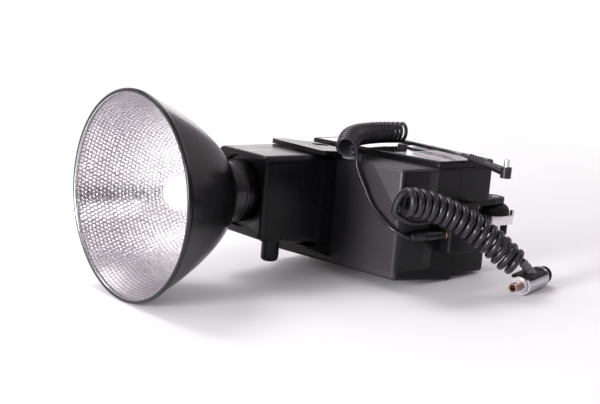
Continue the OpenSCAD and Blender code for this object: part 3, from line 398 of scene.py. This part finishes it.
# Moulded plastic: fine sand-blast grain, patchy gloss and a trace of pale dust. With shade ends given, the
# colour goes over into their dark colour toward the foot and toward the hinge, which is painted shade.
# Noises are given by scale, detail and roughness.
plasticLook = {"grain": (1800, 3, 0.7), "patches": (45, 3, 0.6), "dust": (600, 4, 0.8), "pebbles": 1100,
               "grainTone": 0.3, "patchTone": 0.35, "darker": 0.75, "paler": 1.3,
               "dustFrom": 0.68, "dustSharp": 6, "dustShare": 0.35, "dustTimes": 2.2, "dustPlus": 0.02,
               "grainRough": 0.18, "patchRough": 0.12, "grainHigh": 0.7, "pebbleHigh": 0.5, "deep": 0.0001}


def mouldedPlastic(name, colour, rough, grain, shine=0.3, paintedShadeEnds=None):
    p = plasticLook
    f = Finish(name, Specular_IOR_Level=shine)
    fine, broad, dust = f.noise(*p["grain"]), f.noise(*p["patches"]), f.noise(*p["dust"])
    speck = ((dust - p["dustFrom"]) * p["dustSharp"]).held() * p["dustShare"]
    tone = (broad - 0.5) * p["patchTone"] + (fine - 0.5) * p["grainTone"] + 0.5
    dark, pale = tuple(c * p["darker"] for c in colour), tuple(c * p["paler"] for c in colour)
    base = f.blendColour(tone, dark, pale)
    # Painted shade: the colour goes dark on the foot's unlit end face and toward the hinge, where the head and
    # bowl shade the case.
    if paintedShadeEnds:
        y = f.ownAxes()[1]
        foot = ((paintedShadeEnds["footY"] - y) / paintedShadeEnds["footOver"]).held()
        hinge = ((y - paintedShadeEnds["hingeY"]) / paintedShadeEnds["hingeOver"]).held()
        base = f.blendColour(foot.most(hinge), base, paintedShadeEnds["colour"])
    dusty = tuple(c * p["dustTimes"] + p["dustPlus"] for c in colour)
    f.set("Base Color", f.blendColour(speck, base, dusty))
    f.set("Roughness", (rough + (broad - 0.5) * p["patchRough"] + (fine - 0.5) * p["grainRough"]).held())
    f.bump(fine * p["grainHigh"] + f.cells(p["pebbles"]) * p["pebbleHigh"], grain, p["deep"])
    return f


# Bare or blackened metal, its tone and polish uneven in patches and in fine grain.
metalLook = {"grain": (900, 3, 0.6), "patches": (60, 3, 0.6), "grainTone": 0.5, "patchTone": 0.8, "darker": 0.8,
             "grainRough": 0.25, "patchRough": 0.1, "deep": 0.00015}


def metal(name, colour, rough, grain=0.3):
    p = metalLook
    f = Finish(name, Metallic=1.0)
    fine, broad = f.noise(*p["grain"]), f.noise(*p["patches"])
    tone = (broad - 0.5) * p["patchTone"] + (fine - 0.5) * p["grainTone"] + 0.5
    f.set("Base Color", f.blendColour(tone, tuple(c * p["darker"] for c in colour), colour))
    f.set("Roughness", (rough + (fine - 0.5) * p["grainRough"] + (broad - 0.5) * p["patchRough"]).held())
    f.bump(fine, grain, p["deep"])
    return f


# Hammered silver: one shallow dimple in each cell of the bowl's own grid. The height is the smooth
# step of the distance from the cell's middle, beyond a flat that differs by chance; it fades high
# and low on the bowl. The silver is painted paler toward the neck, a painted highlight, and is rougher and
# painted darker on the ridges, painted shade of the dimples.
hammerLook = {"sway": (260, 2, 0.6), "grain": (1500, 2, 0.6), "cloud": (14, 2, 0.5),
              "swayShare": 0.5, "offCentre": 0.16, "steep": 4.0, "flat": 0.95, "flatChance": 0.3,
              "plainFrom": 0.026, "plainSharp": 28, "plainShare": 0.75, "least": 0.6,
              "litNeckRows": 24, "litNeckFade": 0.1, "flatTones": ((0.78, 0.75, 0.78), (0.98, 0.97, 0.98)),
              "ridgeShadeTones": ((0.46, 0.43, 0.46), (0.8, 0.79, 0.8)), "rough": 0.14, "grainRough": 0.08,
              "ridgeRough": 0.1, "cloudRough": 0.1, "plainRough": 0.16, "grainHigh": 0.03, "deep": 0.0006}


def hammeredSilver():
    p = hammerLook
    f = Finish("hammeredSilver", Metallic=1.0)
    u, v = f.split(f.make("ShaderNodeTexCoord").outputs["UV"])[:2]
    chance = f.chance(u, v)
    sway, fine, cloud = f.noise(*p["sway"]), f.noise(*p["grain"]), f.noise(*p["cloud"])
    du = (u + (sway - 0.5) * p["swayShare"]).frac() - 0.5 + (chance - 0.5) * p["offCentre"]
    dv = v.frac() - 0.5
    wide = ((du * du + dv * dv) ** 0.5 * p["steep"] - p["flat"] - chance * p["flatChance"]).held()
    soft = wide * wide * (3 - wide * 2)
    tall = f.split(f.place)[2] - restZ / 1000
    plain = ((tall.size() - p["plainFrom"]) * p["plainSharp"]).held()
    depth = (p["least"] + chance * (1 - p["least"])) * (1 - plain * p["plainShare"])
    # Painted highlight: the silver is paler toward the neck. Painted shade: it is darker on the dimples'
    # ridges.
    neck = ((p["litNeckRows"] - v) * p["litNeckFade"]).held()
    flat, ridge = f.blendColour(neck, *p["flatTones"]), f.blendColour(neck, *p["ridgeShadeTones"])
    f.set("Base Color", f.blendColour(soft, flat, ridge))
    worn = (fine - 0.5) * p["grainRough"] + soft * p["ridgeRough"] + (cloud - 0.5) * p["cloudRough"]
    f.set("Roughness", (worn + plain * p["plainRough"] + p["rough"]).held())
    f.bump(soft * depth + fine * p["grainHigh"], 1.0, p["deep"])
    return f


# The glossy panel: dark round the selector, and a pale field toward the foot that is ruled like
# a table, with a grey head row and a bar of chance length in every row, along the flash's own axes.
panelLook = {"grain": (900, 3, 0.6), "patches": (40, 3, 0.6), "darkFromY": -41.0, "fieldX": (201.0, 245.5),
             "fieldY": (-79.0, -45.0), "rows": 8, "columns": 5, "line": 0.07, "headRow": 5.0,
             "bar": 0.42, "barHalf": 0.16, "paleTones": ((0.68, 0.67, 0.69), (0.75, 0.74, 0.75)),
             "darkTones": ((0.006, 0.006, 0.007), (0.01, 0.01, 0.012)), "headTone": (0.2, 0.2, 0.21),
             "ink": (0.03, 0.03, 0.035), "rough": 0.1, "patchRough": 0.06, "grainRough": 0.05,
             "grainHigh": 0.04, "deep": 0.0002, "coat": 0.3, "coatRough": 0.03}


def panelFinish():
    p = panelLook
    f = Finish("panelPlate", Coat_Weight=p["coat"], Coat_Roughness=p["coatRough"])
    x, y = f.ownAxes()[:2]
    fine, broad = f.noise(*p["grain"]), f.noise(*p["patches"])
    (x0, x1), (y0, y1) = p["fieldX"], p["fieldY"]
    inside = (x > x0) * (x < x1) * (y > y0) * (y < y1)
    row, column = (y - y0) / ((y1 - y0) / p["rows"]), (x - x0) / ((x1 - x0) / p["columns"])
    ruled = (row.frac() < p["line"]).most(column.frac() < p["line"])
    long = (column.frac() - 0.5).size() < f.chance(row, column) * p["bar"]
    bar = ((row.frac() - 0.5).size() < p["barHalf"]) * long
    head = x < x0 + p["headRow"]
    pale, dark = f.blendColour(broad, *p["paleTones"]), f.blendColour(broad, *p["darkTones"])
    toned = f.blendColour(inside * head, pale, p["headTone"])
    inked = f.blendColour(inside * ruled.most(bar * (1 - head)), toned, p["ink"])
    f.set("Base Color", f.blendColour(y > p["darkFromY"], inked, dark))
    f.set("Roughness", (p["rough"] + (broad - 0.5) * p["patchRough"] + (fine - 0.5) * p["grainRough"]).held())
    f.bump(fine, p["grainHigh"], p["deep"])
    return f


# Thin clear glass with a little grime, which makes it less clear and darker in patches.
glassLook = {"grime": (120, 3, 0.6), "index": 1.47, "alphaSpread": 0.08, "grimy": 0.9}


def glassFinish(name, colour, alpha, rough):
    p = glassLook
    f = Finish(name, IOR=p["index"], Roughness=rough)
    grime = f.noise(*p["grime"])
    f.set("Alpha", (alpha + (grime - 0.5) * p["alphaSpread"]).held())
    f.set("Base Color", f.blendColour(grime, colour, tuple(c * p["grimy"] for c in colour)))
    return f


# The finishes: colour, roughness, grain. Toward the foot the case is painted dark beyond footY, painted shade
# on its end face, and toward the hinge it darkens from hingeY on, a painted shadow of the head and bowl.
caseShadeEnds = {"footY": -84.2, "footOver": 0.8, "hingeY": -61.0, "hingeOver": 22.0,
            "colour": (0.006, 0.0055, 0.0065)}
caseBlack = mouldedPlastic("caseBlack", (0.03, 0.0255, 0.032), 0.42, 0.3, shine=0.22, paintedShadeEnds=caseShadeEnds)
# The corner guard's finish is a paler copy of the case's: painted light on its brighter lit facet.
guardPaintedLight = mouldedPlastic("guardPaintedLight", (0.05, 0.042, 0.052), 0.38, 0.3, shine=0.3, paintedShadeEnds=caseShadeEnds)
headBlack = mouldedPlastic("headBlack", (0.004, 0.0038, 0.0046), 0.28, 0.2, shine=0.2)
footBlack = mouldedPlastic("footBlack", (0.006, 0.006, 0.0065), 0.5, 0.6, shine=0.22)
rubberBlack = mouldedPlastic("rubberBlack", (0.012, 0.0115, 0.0135), 0.3, 0.3, shine=0.4)
cordBlack = mouldedPlastic("cordBlack", (0.014, 0.0132, 0.0165), 0.28, 0.1, shine=0.45)
bowlPaint = mouldedPlastic("bowlPaint", (0.004, 0.004, 0.0045), 0.24, 0.06, shine=0.4)
collarGloss = mouldedPlastic("collarGloss", (0.02, 0.0185, 0.021), 0.34, 0.15, shine=0.5)
silver = hammeredSilver()
rimSteel = metal("rimSteel", (0.5, 0.49, 0.51), 0.25)
darkMetal = metal("darkMetal", (0.035, 0.035, 0.037), 0.36)
footSteel = metal("footSteel", (0.86, 0.85, 0.85), 0.36)
copperBrass = metal("copperBrass", (0.72, 0.47, 0.33), 0.3)
wornCopper = metal("wornCopper", (0.36, 0.235, 0.215), 0.36)
plugSteel = metal("plugSteel", (0.6, 0.58, 0.62), 0.34)
goldRing = metal("goldRing", (0.9, 0.68, 0.36), 0.25, 0.2)
reliefGrey = mouldedPlastic("reliefGrey", (0.22, 0.21, 0.235), 0.5, 0.4)
knobGrey = mouldedPlastic("knobGrey", (0.05, 0.05, 0.053), 0.35, 0.3)
panelPlate = panelFinish()
buttonRed = mouldedPlastic("buttonRed", (0.42, 0.03, 0.025), 0.3, 0.2)

# What is glass, and what stands behind the glass or in the case.
domeGlass = glassFinish("domeGlass", (0.95, 0.96, 0.97), 0.22, 0.05)
tubeGlass = glassFinish("tubeGlass", (1.0, 0.96, 0.9), 0.6, 0.15)
ceramic = mouldedPlastic("ceramic", (0.7, 0.68, 0.62), 0.5, 0.2)
cellSleeve = mouldedPlastic("cellSleeve", (0.35, 0.28, 0.1), 0.3, 0.1)
boardGreen = mouldedPlastic("boardGreen", (0.03, 0.16, 0.06), 0.4, 0.2)
windingCopper = mouldedPlastic("windingCopper", (0.35, 0.15, 0.05), 0.35, 0.4)
sleeveBlue = mouldedPlastic("sleeveBlue", (0.03, 0.06, 0.22), 0.3, 0.1)

# Which CAD pieces wear which finish.
finishOf = {
    guardPaintedLight: ("corner_guard",),
    caseBlack: ("main_shell", "rear_shell", "side_cover", "battery_lid", "socket_housing",
                "battery_tray", "mode_slide"),
    headBlack: ("panel_housing", "ear_upper", "ear_lower", "end_cap", "head_shell_upper",
                "head_shell_lower", "tilt_barrel", "release_knob", "knob_guide"),
    footBlack: ("foot_flange", "foot_wheel", "foot_knob", "plug_block", "plug_lock"),
    rubberBlack: ("cord_gland", "thin_plug", "pc_plug"),
    reliefGrey: ("thick_relief",),
    collarGloss: ("reflector_collar",),
    darkMetal: ("bayonet_ring", "case_screws", "tilt_shaft"),
    footSteel: ("foot_plate", "pc_tip"),
    plugSteel: ("plug_sleeve",),
    wornCopper: ("plug_barrel",),
    copperBrass: ("friction_washers",),
    goldRing: ("sync_socket",),
    knobGrey: ("selector_knob",),
    buttonRed: ("test_button",),
    panelPlate: ("panel_glass",),
    domeGlass: ("glass_dome",),
    tubeGlass: ("flash_tube",),
    ceramic: ("tube_base",),
    cellSleeve: ("battery_cells",),
    boardGreen: ("main_board",),
    windingCopper: ("transformer", "trigger_coil"),
    sleeveBlue: ("capacitor",),
}
for finish, names in finishOf.items():
    for n in names:
        wear(nodes[n], finish)
for cable in (thickCable, thinCable):
    wear(cable, cordBlack)
print("finishes made:", len(bpy.data.materials))

# Hard pieces get rounded edges: widths in millimetres, angles in degrees. Edges sharper than the
# crease are rounded, faces flatter than flat are joined.
eased = {"merge": 2e-6, "crease": 32.0, "flat": 1.0, "edge": 0.35, "fine": 0.18, "steps": 2}
easedPieces = {
    "edge": ("end_cap", "head_shell_upper", "head_shell_lower", "tilt_barrel", "ear_upper", "ear_lower",
             "main_shell", "rear_shell", "side_cover", "corner_guard", "panel_housing", "battery_lid",
             "socket_housing", "foot_flange", "foot_plate", "plug_block"),
    "fine": ("reflector_collar", "bayonet_ring", "selector_knob", "mode_slide", "foot_wheel", "foot_knob",
             "plug_lock", "plug_sleeve", "plug_barrel", "pc_plug", "pc_tip", "thin_plug", "cord_gland",
             "thick_relief", "release_knob", "knob_guide", "case_screws", "test_button", "sync_socket"),
}
record = frame["record"]
bodyOf = {n: body for body, names in record["behaviour"]["bodies"].items() for n in names}


# A copy of a CAD piece with its triangles joined into whole faces, rounded along every edge
# sharper than the crease angle by a small arc.
def easeEdges(name, width):
    mesh = nodes[name].data.copy()
    work = bmesh.new()
    work.from_mesh(mesh)
    bmesh.ops.remove_doubles(work, verts=work.verts, dist=eased["merge"])
    flat = math.radians(eased["flat"])
    bmesh.ops.dissolve_limit(work, angle_limit=flat, verts=work.verts, edges=work.edges)
    work.to_mesh(mesh)
    work.free()
    mesh.polygons.foreach_set("use_smooth", np.full(len(mesh.polygons), True))
    mesh.set_sharp_from_angle(angle=math.radians(eased["crease"]))
    obj = bpy.data.objects.new(name + ".eased", mesh)
    bpy.context.scene.collection.objects.link(obj)
    bevel = obj.modifiers.new("edges", "BEVEL")
    bevel.width, bevel.segments = eased[width] / 1000, eased["steps"]
    bevel.limit_method, bevel.angle_limit = "ANGLE", math.radians(eased["crease"])
    bevel.harden_normals = True
    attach(obj, bodyOf[name])
    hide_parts(name)
    return obj


easedOf = {n: easeEdges(n, width) for width, names in easedPieces.items() for n in names}
print("edges eased on", len(easedOf), "pieces")

# The reflector's bowl, lengths in millimetres, angles in degrees round the rolled rim.
bowl = {"depth": 73.0, "neckR": 20.0, "wall": 1.2, "slant": 1.15, "bend": 2.2, "holeR": 16.0,
        "samples": 2000, "around": 256, "dimple": 2.7, "rowStep": 2.55, "plainEdge": 3.0,
        "rollFrom": -55, "rollTo": -328, "rollSteps": 25, "outerFrom": 3.4, "outerSteps": 50, "steelRows": 9}


# Outer radius of the spun bowl: mouth radius times (1 - x / apex) to the power 1 / bend.
def bowlRadius(x):
    apex = bowl["depth"] / (1 - (bowl["neckR"] / lie["mouthR"]) ** bowl["bend"])
    return lie["mouthR"] * (1 - x / apex) ** (1 / bowl["bend"])


# The bowl's closed section, mouth at x = 0: inner wall, rolled rim, outer wall, flange. The inner
# wall is cut into rows of equal length along the curve, each with as many dimples as fit round it.
def makeBowl():
    rim, flange, wall = lie["rimR"], bowl["depth"] - bowl["wall"], bowl["wall"] * bowl["slant"]
    fine = np.linspace(flange, bowl["plainEdge"], bowl["samples"])
    run = np.concatenate([[0], np.cumsum(np.hypot(np.diff(fine), np.diff(bowlRadius(fine))))])
    rows = int(run[-1] / bowl["rowStep"])
    inX = np.interp(np.linspace(0, run[-1], 2 * rows + 1), run, fine)
    inner = np.stack([inX, bowlRadius(inX) - wall], -1)
    a = np.radians(np.linspace(bowl["rollFrom"], bowl["rollTo"], bowl["rollSteps"]))
    roll = np.stack([rim + rim * np.cos(a), lie["mouthR"] - rim + rim * np.sin(a)], -1)
    outX = np.linspace(bowl["outerFrom"], bowl["depth"], bowl["outerSteps"])
    outer = np.stack([outX, bowlRadius(outX)], -1)
    back = np.array([[bowl["depth"], bowl["holeR"]], [flange, bowl["holeR"]]])
    profile = np.vstack([inner, roll, outer, back])
    verts, faces = revolved(profile, bowl["around"])
    obj = addMesh("hammeredBowl", verts, faces)
    row, col = np.divmod(np.arange(len(faces)), bowl["around"])
    band = row // 2
    middle = profile[np.minimum(2 * band + 1, len(profile) - 1), 1]
    perFace = np.round(2 * math.pi * middle / bowl["dimple"]) / bowl["around"]
    u = np.stack([col, col, col + 1, col + 1], -1) * perFace[:, None] + (band % 2)[:, None] / 2
    v = np.stack([row, row + 1, row + 1, row], -1) / 2
    layer = obj.data.uv_layers.new(name="around")
    layer.data.foreach_set("uv", np.stack([u, v], -1).astype(np.float32).ravel())
    hammered = (row < 2 * rows) | (row >= len(profile) - 2)
    kind = np.select([hammered, row < 2 * rows + bowl["steelRows"]], [0, 1], 2)
    for finish in (silver, rimSteel, bowlPaint):
        obj.data.materials.append(finish.mat)
    obj.data.polygons.foreach_set("material_index", kind.astype(np.int32))
    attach(obj, "reflector")
    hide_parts("reflector_bowl")
    return obj


makeBowl()
print("bowl spun")


# The room: the tabletop's colour, the light all round at a low height, above and on the camera's
# side, where the dark begins and ends, and how far from the flash the table goes over into white.
room = {"floor": 6.0, "floorColour": (0.95, 0.95, 0.96), "shaded": 0.985, "patches": 3, "floorRough": 0.55,
        "floorShine": 0.2, "level": 1.2, "above": 0.48, "front": 0.03, "upFrom": 0.35, "upSharp": 3.5,
        "darkFrom": 0.32, "darkTo": 0.8, "fade": (0.22, 0.75), "darkWay": (0.1, -0.995),
        "tint": (1.0, 0.9, 0.965), "right": (0.3, 0.5, 0.6)}


# A pale tabletop that goes over into the white backdrop away from the flash, by the smooth step of
# the distance between the two that fade names.
def makeFloor():
    s = room["floor"]
    verts = [(-s, -s, 0), (s, -s, 0), (s, s, 0), (-s, s, 0)]
    obj = addMesh("tabletop", verts, [(0, 1, 2, 3)], False)
    f = Finish("tabletop", Roughness=room["floorRough"], Specular_IOR_Level=room["floorShine"])
    shaded = tuple(c * room["shaded"] for c in room["floorColour"])
    f.set("Base Color", f.blendColour(f.noise(room["patches"]), room["floorColour"], shaded))
    x, y = f.split(f.place)[:2]
    near, far = room["fade"]
    away = (((x * x + y * y) ** 0.5 - near) / (far - near)).held()
    seen = f.sig(f.make("ShaderNodeLightPath").outputs["Is Camera Ray"])
    white = f.make("ShaderNodeEmission", Color=(1, 1, 1, 1), Strength=1.0).outputs[0]
    share = away * away * (3 - away * 2) * seen
    mix = f.make("ShaderNodeMixShader", i0=share, i1=f.shader.outputs[0], i2=white)
    f.tree.links.new(mix.outputs[0], f.tree.nodes["Material Output"].inputs["Surface"])
    wear(obj, f)


# White all round the flash at a low height, dark on the camera's side, dimmer to the right and dim
# above, and plain white to the camera.
def lightRoom():
    world = bpy.data.worlds.new("world")
    bpy.context.scene.world = world
    world.use_nodes = True
    f = Wiring(world.node_tree)
    x, y, z = f.split(f.make("ShaderNodeTexCoord").outputs["Generated"])
    flat = (x * x + y * y + 0.0001) ** 0.5
    facing = (x * room["darkWay"][0] + y * room["darkWay"][1]) / flat
    dark = ((facing - room["darkFrom"]) / (room["darkTo"] - room["darkFrom"])).held()
    low = room["level"] + dark * (room["front"] - room["level"])
    up = ((z - room["upFrom"]) * room["upSharp"]).held()
    start, over, share = room["right"]
    low = low * (1 - ((x - start) / over).held() * share)
    glow = low + up * (room["above"] - low)
    seen = f.sig(f.make("ShaderNodeLightPath").outputs["Is Camera Ray"])
    shade = f.tree.nodes["Background"]
    f.tree.links.new(glow.most(seen).socket, shade.inputs["Strength"])
    f.tree.links.new(f.blendColour(seen, room["tint"], (1, 1, 1)), shade.inputs["Color"])


# Square lamps: place and aim in metres, size in metres, power in watts.
softBoxes = [
    {"name": "overhead", "at": (-0.1, 0.5, 1.1), "to": (0, 0, 0.05), "size": 0.5, "power": 6},
    {"name": "leftLow", "at": (-1.15, 0.6, 0.42), "to": (0, 0, 0.07), "size": 0.5, "power": 3},
    {"name": "behind", "at": (0.9, 1.34, 0.5), "to": (0, 0, 0.05), "size": 0.8, "power": 3.4},
    {"name": "leftFront", "at": (-1.3, -0.16, 0.3), "to": (0.05, -0.05, 0.06), "size": 0.34, "power": 18},
    {"name": "fill", "at": (-0.6, -1.3, 0.8), "to": (0, 0, 0.05), "size": 0.5, "power": 2},
    {"name": "fromRight", "at": (1.1, -0.3, 0.7), "to": (0.05, 0, 0.05), "size": 0.4, "power": 1.2},
]


# A lamp shines down its own z axis, so it is tipped by the angle between that and its way to the
# aim, and then turned round the upright to the way's own heading.
def addSoftBoxes():
    for box in softBoxes:
        data = bpy.data.lights.new(box["name"], "AREA")
        data.energy, data.size = box["power"], box["size"]
        obj = bpy.data.objects.new(box["name"], data)
        way = unit(np.array(box["to"]) - np.array(box["at"]))
        obj.location = box["at"]
        obj.rotation_euler = (math.acos(-way[2]), 0, math.atan2(way[1], way[0]) - math.pi / 2)
        obj.visible_camera = False
        bpy.context.scene.collection.objects.link(obj)


makeFloor()
lightRoom()
addSoftBoxes()
bpy.context.scene.view_settings.view_transform = "Standard"
print("stage and lights set")

bpy.context.view_layer.update()
